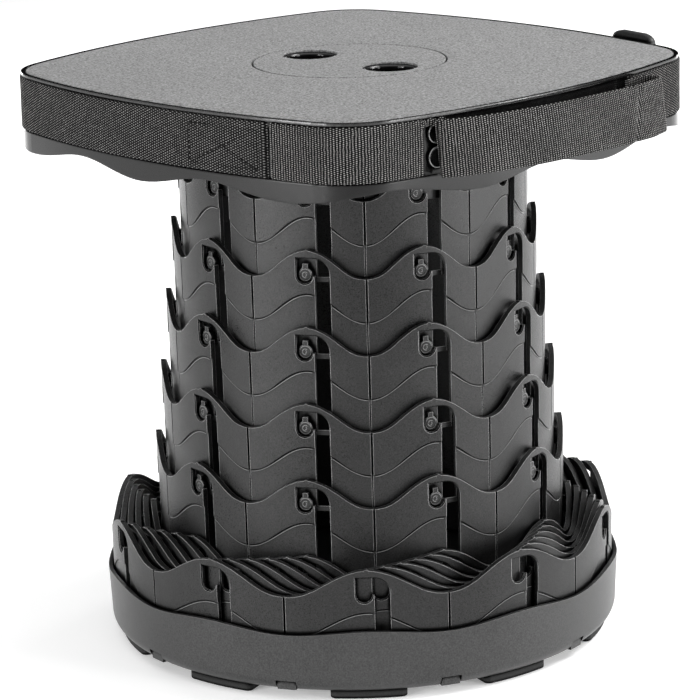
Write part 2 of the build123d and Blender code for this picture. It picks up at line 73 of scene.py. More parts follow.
# seat
SEAT_TOP = 276.4
SIDE_MIDDLE = 128
SIDE_RADIUS = 400
CORNER_RADIUS = 31
PAD_BOTTOM = 274
PAD_EDGE_OUT = 0.05
PAD_EDGE_RADIUS = 0.9
PAD_EDGE_FALL = 0.25
PAD_FALL_WIDTH = 5
PAD_HOLE_GAP = 0.85
PAD_HOLE_LIP = 0.4
DISC_RADIUS = 45.7
DISC_PAD_BOTTOM = 275.25
DISC_EDGE_RADIUS = 0.45
HOLE_RADIUS = 13.1
HOLE_OFFSET = 27.2
HOLE_ANGLE = -46

# straps
STRAP_TOP = 274.3
STRAP_WIDTH = 25
STRAP_MIDDLE_OUT = 2
STRAP_HALF_THICKNESS = 0.72
RIB_PITCH = 1.36
RIB_HEIGHT = 0.13
STEP = RIB_PITCH / 4
SLIDER_FACING = 35.3

# meshes; the handle is a Bezier quarter circle's, as a share of its radius
TUBE_SIDES = 6
LATHE_SEGMENTS = 48
SHARP_ANGLE = 40
QUARTER_HANDLE = 0.5523

side_centre = SIDE_MIDDLE - SIDE_RADIUS
corner_gap = SIDE_RADIUS - CORNER_RADIUS
corner_offset = (side_centre + sqrt(2 * corner_gap**2 - side_centre**2)) / 2
side_swing = degrees(atan2(corner_offset, corner_offset - side_centre))


# ---- plan geometry ------------------------------------------------------------------
def polar(radius, angle):
    """Plan point at a radius and an angle."""
    return Vector((radius * cos(radians(angle)), radius * sin(radians(angle))))


def turn(angle):
    """The same angle between -180 and 180."""
    return (angle + 180) % 360 - 180


def seat_point(facing, out=0):
    """Point of the seat's outline whose normal points at facing, and the radius there."""
    middle = 90 * floor(facing / 90) + 45
    swing = facing - middle
    if abs(swing) <= side_swing:
        centre, radius = polar(side_centre, middle), SIDE_RADIUS
    else:
        corner = middle + copysign(45, swing)
        centre, radius = polar(corner_offset * sqrt(2), corner), CORNER_RADIUS
    return centre + polar(radius + out, facing), radius + out


def facing_at(angle):
    """Normal direction of the seat's outline where a ray at that angle meets it."""
    low, high = angle - 44, angle + 44
    for _ in range(40):
        middle = (low + high) / 2
        point, _ = seat_point(middle)
        if turn(degrees(atan2(point.y, point.x)) - angle) < 0:
            low = middle
        else:
            high = middle
    return low


def outline_run(start, end, out):
    """Points along the seat's outline, anticlockwise from one normal direction to another."""
    facing, run = start, []
    while facing < end:
        point, radius = seat_point(facing, out)
        run.append(point)
        facing += degrees(STEP / radius)
    run.append(seat_point(end, out)[0])
    return run


def curl(point, along, outward, radius, angle):
    """Points that leave a path at its end and turn inwards."""
    centre = point - outward * radius
    steps = max(2, ceil(radians(angle) * radius / STEP))
    return [
        centre + (outward * cos(radians(a)) + along * sin(radians(a))) * radius
        for a in (angle * i / steps for i in range(1, steps + 1))
    ]


def resample(points):
    """Points an even step apart along a path."""
    made, left = [points[0]], STEP
    for a, b in zip(points, points[1:]):
        length = (b - a).length
        while length >= left:
            a = a.lerp(b, left / length)
            length -= left
            made.append(a)
            left = STEP
        left -= length
    return made


# ---- meshes -------------------------------------------------------------------------
def place_mesh(name, mesh, material, body):
    """Smooth object for a mesh in metres, with its material and body."""
    mesh.materials.append(material)
    mesh.shade_smooth()
    piece = bpy.data.objects.new(name, mesh)
    bpy.context.scene.collection.objects.link(piece)
    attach(piece, body)
    return piece


def new_piece(name, verts, faces, material, body, slot):
    """Smooth object from vertices in millimetres, with its material and body; slot is not used."""
    mesh = bpy.data.meshes.new(name)
    mesh.from_pydata([Vector(v) * MM for v in verts], [], faces)
    mesh.validate()
    return place_mesh(name, mesh, material, body)


def loops_to_faces(loops, size, closed):
    """Quads between neighbouring loops of the same size."""
    faces = []
    for i in range(loops if closed else loops - 1):
        a, b = i * size, (i + 1) % loops * size
        for j in range(size):
            k = (j + 1) % size
            faces.append((a + j, b + j, b + k, a + k))
    return faces


def strap_section(width):
    """Closed cross-section of the webbing: (height, out, share of the ribs)."""
    rows, edge = 16, 4
    half_flat = width / 2 - STRAP_HALF_THICKNESS
    heights = [half_flat * (2 * i / rows - 1) for i in range(rows + 1)]
    outer = [(height, STRAP_HALF_THICKNESS, 1) for height in heights]
    inner = [(-height, -out, -1) for height, out, _ in outer]
    top = [
        (
            half_flat + STRAP_HALF_THICKNESS * sin(pi * i / edge),
            STRAP_HALF_THICKNESS * cos(pi * i / edge),
            cos(pi * i / edge),
        )
        for i in range(1, edge)
    ]
    bottom = [(-height, -out, -share) for height, out, share in top]
    return outer + top + inner + bottom


def strap(name, path, side, material, shape, width=STRAP_WIDTH):
    """Ribbed webbing along a path. side is 1 where its face is right of the path."""
    section = strap_section(width)
    points = resample(path)
    verts, weave = [], []
    for i, point in enumerate(points):
        along = (points[min(i + 1, len(points) - 1)] - points[max(i - 1, 0)]).normalized()
        out = Vector((along.y, -along.x)) * side
        distance = i * STEP
        rib = RIB_HEIGHT * cos(2 * pi * distance / RIB_PITCH)
        for height, thickness, share in section:
            push, drop = shape(distance, height)
            spot = point + out * (thickness + rib * share + push)
            verts.append((spot.x, spot.y, STRAP_TOP - width / 2 + height - drop))
            weave.append((distance, height, share))
    size, loops = len(section), len(points)
    faces = loops_to_faces(loops, size, closed=False)
    faces.append(tuple(range(size))[::-1])
    faces.append(tuple(range((loops - 1) * size, loops * size)))
    if side < 0:
        faces = [face[::-1] for face in faces]
    piece = new_piece(name, verts, faces, material, "seat", "webbing")
    layer = piece.data.attributes.new("weave", "FLOAT_VECTOR", "POINT")
    layer.data.foreach_set("vector", [value for row in weave for value in row])
    return piece, points


def tube(path, radius, ends=0.35):
    """Vertices and faces of a round thread or bead along a path, thinner at its ends."""
    verts, faces = [], []
    for i, point in enumerate(path):
        along = (path[min(i + 1, len(path) - 1)] - path[max(i - 1, 0)]).normalized()
        across = along.cross(Vector((0, 0, 1)))
        across = across.normalized() if across.length > 0.1 else Vector((1, 0, 0))
        other = along.cross(across)
        size = radius * (ends if i in (0, len(path) - 1) else 1)
        for j in range(TUBE_SIDES):
            a = 2 * pi * j / TUBE_SIDES
            verts.append(point + (across * cos(a) + other * sin(a)) * size)
    faces = loops_to_faces(len(path), TUBE_SIDES, closed=False)
    faces.append(tuple(range(TUBE_SIDES))[::-1])
    faces.append(tuple(range((len(path) - 1) * TUBE_SIDES, len(path) * TUBE_SIDES)))
    return verts, faces


def joined(parts):
    """One list of vertices and faces from several."""
    verts, faces = [], []
    for some_verts, some_faces in parts:
        start = len(verts)
        verts += some_verts
        faces += [tuple(start + i for i in face) for face in some_faces]
    return verts, faces


def lathe(profile, origin, axis):
    """Solid of revolution: profile is (radius, along the axis), from the axis to the axis."""
    segments = LATHE_SEGMENTS
    turned = axis.to_track_quat("Z", "Y").to_matrix()
    rims = profile[1:-1]
    verts = [origin + turned @ Vector((0, 0, profile[0][1]))]
    verts.append(origin + turned @ Vector((0, 0, profile[-1][1])))
    for radius, height in rims:
        for j in range(segments):
            a = 2 * pi * j / segments
            verts.append(origin + turned @ Vector((radius * cos(a), radius * sin(a), height)))
    faces = []
    for j in range(segments):
        k = (j + 1) % segments
        faces.append((0, 2 + k, 2 + j))
        for i in range(len(rims) - 1):
            a, b = 2 + i * segments, 2 + (i + 1) * segments
            faces.append((a + j, a + k, b + k, b + j))
        last = 2 + (len(rims) - 1) * segments
        faces.append((1, last + j, last + k))
    return verts, faces


# ---- materials ----------------------------------------------------------------------
class Nodes:
    """Short calls that build one material's node tree."""

    def __init__(self, name):
        self.material = bpy.data.materials.new(name)
        self.material.use_nodes = True
        self.tree = self.material.node_tree
        self.shader = self.tree.nodes["Principled BSDF"]

    def add(self, kind, inputs=(), **settings):
        """New node with its settings, and its inputs given as values or sockets."""
        node = self.tree.nodes.new(kind)
        for key, value in settings.items():
            setattr(node, key, value)
        for key, value in dict(inputs).items():
            if isinstance(value, bpy.types.NodeSocket):
                self.tree.links.new(value, node.inputs[key])
            else:
                node.inputs[key].default_value = value
        return node

    def noise(self, coords, scale, detail=2, roughness=0.5):
        """Noise value, from 0 to 1, with a grain of about a metre over scale."""
        inputs = {"Vector": coords, "Scale": scale, "Detail": detail, "Roughness": roughness}
        return self.add("ShaderNodeTexNoise", inputs).outputs["Fac"]

    def spread(self, value, low, high, to_low, to_high):
        """Value moved from one range to another, held at its ends."""
        inputs = {"Value": value, 1: low, 2: high, 3: to_low, 4: to_high}
        return self.add("ShaderNodeMapRange", inputs).outputs["Result"]

    def math(self, operation, a, b=0.0):
        """One maths operation."""
        return self.add("ShaderNodeMath", {0: a, 1: b}, operation=operation).outputs[0]

    def mix(self, factor, low, high):
        """Colour between low and high."""
        node = self.add("ShaderNodeMix", {"Factor": factor}, data_type="RGBA")
        for socket, value in ((node.inputs[6], low), (node.inputs[7], high)):
            if isinstance(value, bpy.types.NodeSocket):
                self.tree.links.new(value, socket)
            else:
                socket.default_value = (*value, 1)
        return node.outputs[2]

    def bump(self, height, distance, normal=None):
        """Bump of that height in metres."""
        inputs = {"Height": height, "Distance": distance}
        if normal is not None:
            inputs["Normal"] = normal
        return self.add("ShaderNodeBump", inputs).outputs["Normal"]

    def set(self, **values):
        """Values or sockets for the shader's own inputs."""
        for key, value in values.items():
            socket = self.shader.inputs[key.replace("_", " ")]
            if isinstance(value, bpy.types.NodeSocket):
                self.tree.links.new(value, socket)
            else:
                socket.default_value = value


def grey(value, warm=0.0):
    """Near-neutral colour."""
    return (value * (1 + warm), value, value * (1 - warm))


# reach in mm of the painted shade in creases
PAINTED_SHADE_REACH = 2.2
# rise in mm over which the painted shade on reflections fades out
REFLECTION_DIM_FADE = 4


def moulded(
    name, dark, light, roughness, grain, texture, edge, bevel=0.25, specular=0.5, dim_reflection_below=None
):
    """Moulded plastic: spark texture, cloudy tone and gloss, painted shade in creases, painted
    highlights on edges.

    The painted highlight on edges has the colour edge and is left off edges that face down. grain
    is the scale of the texture, and texture and bevel are its depth and the roundness of edges.
    The reflection is full above the height that the last argument gives, and is dimmed as painted
    shade in creases and below that height.
    """
    n = Nodes(name)
    coords = n.add("ShaderNodeTexCoord").outputs["Object"]
    cloud = n.noise(coords, 28, detail=4)
    fine = n.noise(coords, grain, detail=3, roughness=0.7)
    speck = n.noise(coords, grain * 2.7, detail=2)
    share = n.math("ADD", n.spread(cloud, 0.3, 0.7, 0, 0.4), n.spread(fine, 0.33, 0.67, 0, 0.6))
    tone = n.mix(share, grey(dark), grey(light))
    rounded = n.add("ShaderNodeBevel", {"Radius": bevel * MM}, samples=4).outputs["Normal"]
    true_normal = n.add("ShaderNodeNewGeometry").outputs["True Normal"]
    facing = n.add("ShaderNodeVectorMath", {0: rounded, 1: true_normal}, operation="DOT_PRODUCT")
    tilt = n.add("ShaderNodeSeparateXYZ", {"Vector": rounded}).outputs["Z"]
    # painted highlight: edges are lightened towards the colour edge, except where they face down
    bent = n.spread(facing.outputs["Value"], 0.8, 0.985, 0.85, 0)
    painted_edge_highlight = n.math("MULTIPLY", bent, n.spread(tilt, -0.3, -0.05, 0, 1))
    tone = n.mix(painted_edge_highlight, tone, grey(edge))
    # painted shade: creases and the foot of steps are darkened by ambient occlusion, in the colour
    # and in the reflection
    reach = {"Distance": PAINTED_SHADE_REACH * MM}
    occlusion = n.add("ShaderNodeAmbientOcclusion", reach, samples=12)
    crease = n.spread(occlusion.outputs["AO"], 0.82, 0.97, 1, 0)
    tone = n.mix(crease, tone, grey(dark * 0.1))
    fine_dull = n.spread(fine, 0.3, 0.7, -0.05, 0.06)
    dull = n.math("ADD", fine_dull, n.spread(cloud, 0.3, 0.7, -0.03, 0.03))
    grainy = n.math("ADD", fine, n.math("MULTIPLY", speck, 0.6))
    normal = n.bump(grainy, texture * MM, normal=rounded)
    n.set(Base_Color=tone, Roughness=n.math("ADD", dull, roughness), Normal=normal)
    n.set(Specular_IOR_Level=specular)
    gloss = n.mix(n.spread(fine, 0.35, 0.65, 0, 1), grey(0.6), grey(1))
    # painted shade: the reflection is dimmed below the given height
    if dim_reflection_below:
        height = n.add("ShaderNodeSeparateXYZ", {"Vector": coords}).outputs["Z"]
        below = n.spread(height, (dim_reflection_below - REFLECTION_DIM_FADE) * MM, dim_reflection_below * MM, 1, 0)
        gloss = n.mix(below, gloss, grey(0.3))
    # painted shade: the reflection is dimmed in creases
    n.set(Specular_Tint=n.mix(crease, gloss, grey(0.1)))
    return n.material


def pad_material(name, dark, light):
    """Speckled laminated foam: light flecks on dark."""
    n = Nodes(name)
    coords = n.add("ShaderNodeTexCoord").outputs["Object"]
    cloud = n.noise(coords, 14, detail=3)
    fleck = n.noise(coords, 900, detail=2, roughness=0.6)
    fine = n.noise(coords, 1900, detail=2, roughness=0.6)
    both = n.math("ADD", n.math("MULTIPLY", fleck, 0.6), n.math("MULTIPLY", fine, 0.4))
    tone = n.mix(n.spread(both, 0.38, 0.62, 0, 1), grey(dark), grey(light))
    tone = n.mix(n.spread(cloud, 0.3, 0.7, 0, 0.12), tone, grey(dark))
    n.set(Base_Color=tone, Normal=n.bump(both, 0.3 * MM))
    n.set(Roughness=n.spread(fine, 0.3, 0.7, 0.7, 0.92))
    n.set(Specular_IOR_Level=0.28, Sheen_Weight=0.12, Sheen_Roughness=0.5)
    return n.material


def webbing_material(name, yarn, ribs, checks, light):
    """Woven polyester tape: a painted highlight on the crowns over painted shade in the gaps.

    ribs is the share of upright columns, and checks that of a check with yarns of width yarn.
    """
    n = Nodes(name)
    weave = n.add("ShaderNodeAttribute", attribute_name="weave").outputs["Vector"]
    split = n.add("ShaderNodeSeparateXYZ", {"Vector": weave})
    coords = n.add("ShaderNodeTexCoord").outputs["Object"]
    wobble = n.spread(n.noise(coords, 420, detail=2), 0.2, 0.8, -0.25, 0.25)
    along = n.math("ADD", split.outputs["X"], wobble)
    columns = n.math("COSINE", n.math("MULTIPLY", along, 2 * pi / RIB_PITCH))
    across = n.math("COSINE", n.math("MULTIPLY", along, pi / RIB_PITCH))
    yarns = n.math("COSINE", n.math("MULTIPLY", split.outputs["Y"], pi / yarn))
    check = n.math("MULTIPLY", across, yarns)
    crown = n.math("ADD", n.math("MULTIPLY", columns, ribs), n.math("MULTIPLY", check, checks))
    fuzz = n.noise(coords, 2600, detail=3, roughness=0.7)
    crown = n.math("ADD", crown, n.spread(fuzz, 0.25, 0.75, -0.35, 0.35))
    # painted highlight on the crowns, up to the colour light, and painted shade in the gaps, near
    # black
    tone = n.mix(n.spread(crown, 0.18, 0.98, 0, 1), grey(0.001), grey(light, 0.02))
    cloud = n.noise(coords, 55, detail=3)
    tone = n.mix(n.spread(cloud, 0.35, 0.75, 0, 0.35), tone, grey(0.012))
    n.set(Base_Color=tone, Normal=n.bump(crown, 0.2 * MM))
    n.set(Roughness=n.spread(fuzz, 0.3, 0.7, 0.5, 0.72))
    n.set(Specular_IOR_Level=0.08)
    return n.material


# edge is the colour of each plastic's painted highlight on its edges
ring_plastic = moulded(
    "ring_plastic",
    dark=0.002,
    light=0.019,
    roughness=0.31,
    grain=1900,
    texture=0.08,
    edge=0.62,
    bevel=0.4,
    specular=0.36,
)
cup_plastic = moulded(
    "cup_plastic",
    dark=0.012,
    light=0.03,
    roughness=0.36,
    grain=1300,
    texture=0.05,
    edge=0.25,
    specular=0.55,
)
shell_plastic = moulded(
    "shell_plastic",
    dark=0.003,
    light=0.008,
    roughness=0.14,
    grain=600,
    texture=0.006,
    edge=0.02,
    bevel=0.8,
    specular=0.85,
    # painted shade: the shell's reflection is dimmed below 270 mm
    dim_reflection_below=270,
)
trim_plastic = moulded(
    "trim_plastic",
    dark=0.01,
    light=0.02,
    roughness=0.34,
    grain=1100,
    texture=0.02,
    edge=0.1,
    bevel=0.6,
    specular=0.4,
)
foot_rubber = moulded(
    "foot_rubber",
    dark=0.01,
    light=0.022,
    roughness=0.72,
    grain=1500,
    texture=0.06,
    edge=0.04,
    specular=0.3,
)
thread_material = moulded(
    "thread",
    dark=0.002,
    light=0.008,
    roughness=0.6,
    grain=2400,
    texture=0.03,
    edge=0.01,
    bevel=0.05,
    specular=0.2,
)
# thin raised lines catch the light, so they carry a painted highlight: their plastics are drawn
# paler than what they stand on
painted_highlight_plastic = moulded(
    "painted_highlight_plastic",
    dark=0.14,
    light=0.24,
    roughness=0.36,
    grain=1300,
    texture=0.02,
    edge=0.3,
    bevel=0.1,
)
rim_plastic = moulded(
    "rim_plastic",
    dark=0.2,
    light=0.34,
    roughness=0.3,
    grain=1300,
    texture=0.01,
    edge=0.5,
    bevel=0.1,
)
pad_foam = pad_material("pad_foam", dark=0.055, light=0.34)
# light is the colour of the painted highlight on the webbing's crowns
ribbed_webbing = webbing_material("ribbed_webbing", yarn=0.425, ribs=0.42, checks=0.6, light=0.4)
checked_webbing = webbing_material("checked_webbing", yarn=0.6, ribs=0.2, checks=0.8, light=0.26)

for name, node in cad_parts.items():
    finish = ring_plastic
    if name in ("base_cup", "base_plate"):
        finish = cup_plastic
    elif name == "base_feet":
        finish = foot_rubber
    elif name in ("seat_shell", "grip_disc"):
        finish = shell_plastic
    node.data.materials.clear()
    node.data.materials.append(finish)


# ---- seat pads ----------------------------------------------------------------------
def pad_cover():
    """Foam sheet on the seat: rounded rims, a slight fall to its edge and a round hole."""
    steps, rings, rim_rows = 900, 14, 5
    inner = DISC_RADIUS + PAD_HOLE_GAP
    edge, lip = PAD_EDGE_RADIUS, PAD_HOLE_LIP
    verts = []
    for i in range(steps):
        angle = 360 * i / steps
        direction = polar(1, angle)
        facing = facing_at(angle)
        outer = seat_point(facing)[0].length - PAD_EDGE_OUT
        section = [(outer, PAD_BOTTOM)]
        for k in range(rim_rows):
            a = pi / 2 * k / (rim_rows - 1)
            height = SEAT_TOP - PAD_EDGE_FALL - edge * (1 - sin(a))
            section.append((outer - edge * (1 - cos(a)), height))
        for k in range(1, rings):
            share = k / rings
            reach = outer - edge - (outer - edge - lip - inner) * share**1.6
            fall = PAD_EDGE_FALL * exp(-((outer - reach) / PAD_FALL_WIDTH))
            section.append((reach, SEAT_TOP - fall))
        for k in range(rim_rows):
            a = pi / 2 * (1 - k / (rim_rows - 1))
            section.append((inner + lip * (1 - cos(a)), SEAT_TOP - lip * (1 - sin(a))))
        section.append((inner, PAD_BOTTOM))
        verts += [(*(direction * reach), height) for reach, height in section]
    faces = loops_to_faces(steps, len(verts) // steps, closed=True)
    piece = new_piece("pad_cover", verts, faces, pad_foam, "seat", "pad_foam")
    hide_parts("seat_pad")


def round_spline(curve, centre, radius):
    """Circle added to a flat curve."""
    spline = curve.splines.new("BEZIER")
    spline.bezier_points.add(3)
    handle = radius * QUARTER_HANDLE
    for i, point in enumerate(spline.bezier_points):
        spot, along = centre + polar(radius, 90 * i), polar(handle, 90 * i + 90)
        point.co = (*spot, 0)
        point.handle_left = (*(spot - along), 0)
        point.handle_right = (*(spot + along), 0)
    spline.use_cyclic_u = True


def flat_plate(name, add_outlines, thickness, edge, turned, place, lift=None):
    """Mesh of a filled flat curve with rounded rims, bent by lift, then turned and placed."""
    curve = bpy.data.curves.new(name, "CURVE")
    curve.dimensions = "2D"
    curve.fill_mode = "BOTH"
    curve.resolution_u = 24
    curve.bevel_depth = edge
    curve.bevel_resolution = 3
    curve.offset = -edge
    curve.extrude = thickness / 2 - edge
    add_outlines(curve)
    holder = bpy.data.objects.new(name, curve)
    bpy.context.scene.collection.objects.link(holder)
    mesh = bpy.data.meshes.new_from_object(holder)
    bpy.data.objects.remove(holder)
    for vertex in mesh.vertices:
        spot = vertex.co.copy()
        if lift:
            spot.z += lift(spot.x)
        vertex.co = (turned @ spot + place) * MM
    return mesh


def plate_piece(name, mesh, material):
    """Seat object for a flat plate's mesh, smooth but with its sharp edges kept."""
    mesh.materials.clear()
    piece = place_mesh(name, mesh, material, "seat")
    mesh.set_sharp_from_angle(angle=radians(SHARP_ANGLE))
    return piece


def disc_outlines(curve):
    """Round disc with two finger holes."""
    round_spline(curve, Vector((0, 0)), DISC_RADIUS)
    for side in (1, -1):
        round_spline(curve, polar(HOLE_OFFSET * side, HOLE_ANGLE), HOLE_RADIUS)


def disc_cover():
    """Foam disc over the grip."""
    thickness = SEAT_TOP - DISC_PAD_BOTTOM
    middle = Vector((0, 0, SEAT_TOP - thickness / 2))
    upright = Matrix.Identity(3)
    mesh = flat_plate("disc_cover", disc_outlines, thickness, DISC_EDGE_RADIUS, upright, middle)
    piece = plate_piece("disc_cover", mesh, pad_foam)
    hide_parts("grip_disc_pad")


pad_cover()
disc_cover()


# ---- straps -------------------------------------------------------------------------
def nearest(points, angle):
    """Distance along a strap to where a ray at that angle meets it."""
    off = [abs(turn(degrees(atan2(p.y, p.x)) - angle)) for p in points]
    return off.index(min(off)) * STEP


def to_line(x, y, a, b):
    """Distance from a point to the segment between two others."""
    spot, start, end = Vector((x, y)), Vector(a), Vector(b)
    share = max(0, min(1, (spot - start).dot(end - start) / (end - start).length_squared))
    return (spot - start.lerp(end, share)).length


# A strap's START and END, and the box seam's NEAR and FAR, are directions from the axis.
# The seam's TOP and BOTTOM are heights from the middle of the strap.
TURN_IN = 1.5
TURN_IN_ANGLE = 80
REAR_TURN_IN_ANGLE = 90
REAR_END = -105.6
REAR_PAST_SLIDER = 12.4
BOX_TOP = 8.6
BOX_BOTTOM = -9.2
BOX_NEAR = -106.9
BOX_FAR = -122.7
PUCKER_DEPTH = 0.32
PUCKER_WIDTH = 0.75
STITCH_PITCH = 2.6
STITCH_RADIUS = 0.27
# place along one stitch, and how deep its thread's middle lies there
STITCH_POINTS = ((0.12, 0.28), (0.5, 0.02), (0.88, 0.28))


def wall_frame(facing, out):
    """Point, direction along and outward normal on the seat's wall."""
    return seat_point(facing, out)[0], polar(1, facing + 90), polar(1, facing)


def waver(distance, height):
    """Slight waver of a strap's edges."""
    return 0.05 * sin(distance / 11 + height / 8), 0.12 * sin(distance / 13)


def on_face(points, spot, out):
    """Point out from a strap's middle path, at spot's distance along and height across."""
    i = min(len(points) - 2, int(spot.x / STEP))
    along = (points[i + 1] - points[i]).normalized()
    place = points[i] + Vector((along.y, -along.x)) * out
    return Vector((place.x, place.y, STRAP_TOP - STRAP_WIDTH / 2 + spot.y))


def rear_strap():
    """Webbing from the slider round the back to the stitched end, with its box seam."""
    start = SLIDER_FACING + degrees(REAR_PAST_SLIDER / SIDE_RADIUS)
    end = 360 + facing_at(REAR_END)
    path = outline_run(start, end, STRAP_MIDDLE_OUT)
    path += curl(*wall_frame(end, STRAP_MIDDLE_OUT), TURN_IN, REAR_TURN_IN_ANGLE)
    points = resample(path)
    near, far = nearest(points, BOX_NEAR), nearest(points, BOX_FAR)
    corners = [(far, BOX_TOP), (near, BOX_TOP), (near, BOX_BOTTOM), (far, BOX_BOTTOM)]
    seams = list(zip(corners, corners[1:] + corners[:1]))
    seams += [(corners[0], corners[2]), (corners[1], corners[3])]

    def shape(distance, height):
        """Puckers beside the seams and a slight waver of the edges."""
        push = 0.06 * sin(distance / 17) * sin(height / 6)
        if far - 3 < distance < near + 3:
            close = min(to_line(distance, height, *seam) for seam in seams)
            push -= PUCKER_DEPTH * exp(-((close / PUCKER_WIDTH) ** 2))
        return push, 0.12 * sin(distance / 23)

    piece, points = strap("strap_rear_band", path, 1, checked_webbing, shape)
    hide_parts("strap_rear")
    stitches = []
    for a, b in seams:
        run = Vector(b) - Vector(a)
        count = round(run.length / STITCH_PITCH)
        for i in range(count):
            line = []
            for share, depth in STITCH_POINTS:
                spot = Vector(a) + run * ((i + share) / count)
                line.append(on_face(points, spot, STRAP_HALF_THICKNESS - depth))
            stitches.append(tube(line, STITCH_RADIUS))
    new_piece("box_seam", *joined(stitches), thread_material, "seat", "webbing")


FRONT_START = -103.4
FRONT_END = -78.6
EDGE_END = -73.4
EDGE_WIDTH = 3.4


def ragged(distance, height):
    """Uneven edges where the webbing is gathered."""
    return 0.3 * sin(distance * 1.3 + height), 0.25 * sin(distance * 0.9) + 0.02 * distance


def front_strap():
    """Short webbing across the front corner, turned in at both ends, and its edge beyond."""
    start, end = facing_at(FRONT_START), facing_at(FRONT_END)
    path = outline_run(start, end, STRAP_MIDDLE_OUT)
    point, along, outward = wall_frame(start, STRAP_MIDDLE_OUT)
    path = curl(point, -along, outward, TURN_IN, TURN_IN_ANGLE)[::-1] + path
    path += curl(*wall_frame(end, STRAP_MIDDLE_OUT), TURN_IN, TURN_IN_ANGLE)
    piece, _ = strap("strap_front_band", path, 1, ribbed_webbing, waver)
    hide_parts("strap_front")
    edge = outline_run(end, facing_at(EDGE_END), STRAP_MIDDLE_OUT)
    strap("strap_front_edge", edge, 1, ribbed_webbing, ragged, EDGE_WIDTH)


RIGHT_START = -20.3
RIGHT_PAST_SLIDER = 12
BAR_RISE = 6.5
BAR_RISE_STARTS = 9.2
BAR_RISE_RUN = 6


def right_strap():
    """Webbing round the right corner, threaded over the slider's middle bar."""
    start = facing_at(RIGHT_START)
    point, along, outward = wall_frame(start, STRAP_MIDDLE_OUT)
    path = curl(point, -along, outward, TURN_IN, TURN_IN_ANGLE)[::-1]
    end = SLIDER_FACING + degrees(RIGHT_PAST_SLIDER / SIDE_RADIUS)
    facing = start
    while facing < end:
        away = abs(radians(facing - SLIDER_FACING)) * SIDE_RADIUS
        on_side = facing > side_swing
        share = max(0, min(1, (BAR_RISE_STARTS - away) / BAR_RISE_RUN)) if on_side else 0
        rise = BAR_RISE * share * share * (3 - 2 * share)
        point, radius = seat_point(facing, STRAP_MIDDLE_OUT + rise)
        path.append(point)
        facing += degrees(STEP / 2 / radius)
    piece, _ = strap("strap_right_band", path, 1, checked_webbing, waver)
    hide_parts("strap_right")


# The carry strap lies on the side whose middle faces FRONT_RIGHT. A SWING is an angle from
# there, and the crease and the ripples are at distances along the strap.
FRONT_RIGHT = -45
CARRY_TUCK = 1.5
CARRY_CLOSE = 4.1
CARRY_TURN_SWING = 8.6
CARRY_TURN_RADIUS = 5.2
CARRY_END_SWING = -10.3
CARRY_END_OUT = 3.9
CARRY_END_LEAN = 14
CARRY_START_HANDLE = 42
CARRY_END_HANDLE = 48
CARRY_FOLD_RADIUS = 1.3
CARRY_FOLD_ANGLE = 150
CARRY_FOOT_OUT = 4.5
CREASE_AT = 48
CREASE_LEAN = 0.75
RIPPLE_AT = 33
RIPPLE_WIDTH = 13


def carry_strap():
    """Carry loop: out of its slot, back in a hairpin and across to the front posts."""
    facing = FRONT_RIGHT + CARRY_TURN_SWING
    path = outline_run(facing - CARRY_TUCK, facing, CARRY_CLOSE)
    centre, along, outward = wall_frame(facing, CARRY_CLOSE + CARRY_TURN_RADIUS)
    steps = 30
    for i in range(1, steps + 1):
        a = pi * i / steps
        path.append(centre + (along * sin(a) - outward * cos(a)) * CARRY_TURN_RADIUS)
    last = path[-1]
    end, end_along, end_out = wall_frame(FRONT_RIGHT + CARRY_END_SWING, CARRY_END_OUT)
    lean = radians(CARRY_END_LEAN)
    inward = -end_along * cos(lean) - end_out * sin(lean)
    corners = (last, last - along * CARRY_START_HANDLE, end - inward * CARRY_END_HANDLE, end)
    sweep = interpolate_bezier(*(corner.to_3d() for corner in corners), 200)
    path += [Vector(point[:2]) for point in sweep[1:]]
    outside = Vector((inward.y, -inward.x))
    path += curl(end, inward, outside, CARRY_FOLD_RADIUS, CARRY_FOLD_ANGLE)
    total = (len(resample(path)) - 1) * STEP

    def shape(distance, height):
        """Sags below the rim, leans out at the foot and is creased beside the hairpin."""
        share = min(1, max(0, (distance - 8) / 30))
        share *= min(1, max(0, (total - distance + 12) / 24))
        lean = (0.5 - height / STRAP_WIDTH) * CARRY_FOOT_OUT * share
        off = (distance - CREASE_AT) * CREASE_LEAN + height * (1 - CREASE_LEAN)
        crease = -0.7 * exp(-((off / 1.1) ** 2)) + 0.35 * exp(-(((off - 3) / 2) ** 2))
        ripple = 0.16 * sin(distance / 7.3 + height / 9) * share
        gather = exp(-(((distance - RIPPLE_AT) / RIPPLE_WIDTH) ** 2))
        ripple += 0.4 * sin(height / 2.1 + distance / 6) * gather * share
        return lean + crease * share + ripple, 0.6 + 0.2 * sin(distance / 19)

    piece, _ = strap("carry_strap_band", path, -1, ribbed_webbing, shape)
    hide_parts("carry_strap")


rear_strap()
front_strap()
right_strap()
carry_strap()


# ---- slider and posts ---------------------------------------------------------------
SLIDER_HALF_LENGTH = 15
SLIDER_HALF_HEIGHT = 16
SLIDER_ARCH = 2.3
SLIDER_BAR = 4.4
SLIDER_THICKNESS = 4
SLIDER_EDGE = 1.3
SLIDER_CROWN = 0.4
SLIDER_OUT = 5.3
WINDOW_HALF_HEIGHT = 13.2


def soft_box(curve, centre_x, half_width, half_height, arch, softness):
    """Rounded rectangle with arched top and bottom, added to a flat curve."""
    steps = 72
    spline = curve.splines.new("POLY")
    spline.points.add(steps - 1)
    for i, point in enumerate(spline.points):
        a = 2 * pi * (i + 0.5) / steps
        share = copysign(abs(cos(a)) ** softness, cos(a))
        tall = half_height + arch * (1 - share**2)
        y = tall * copysign(abs(sin(a)) ** softness, sin(a))
        point.co = (centre_x + half_width * share, y, 0, 1)
    spline.use_cyclic_u = True


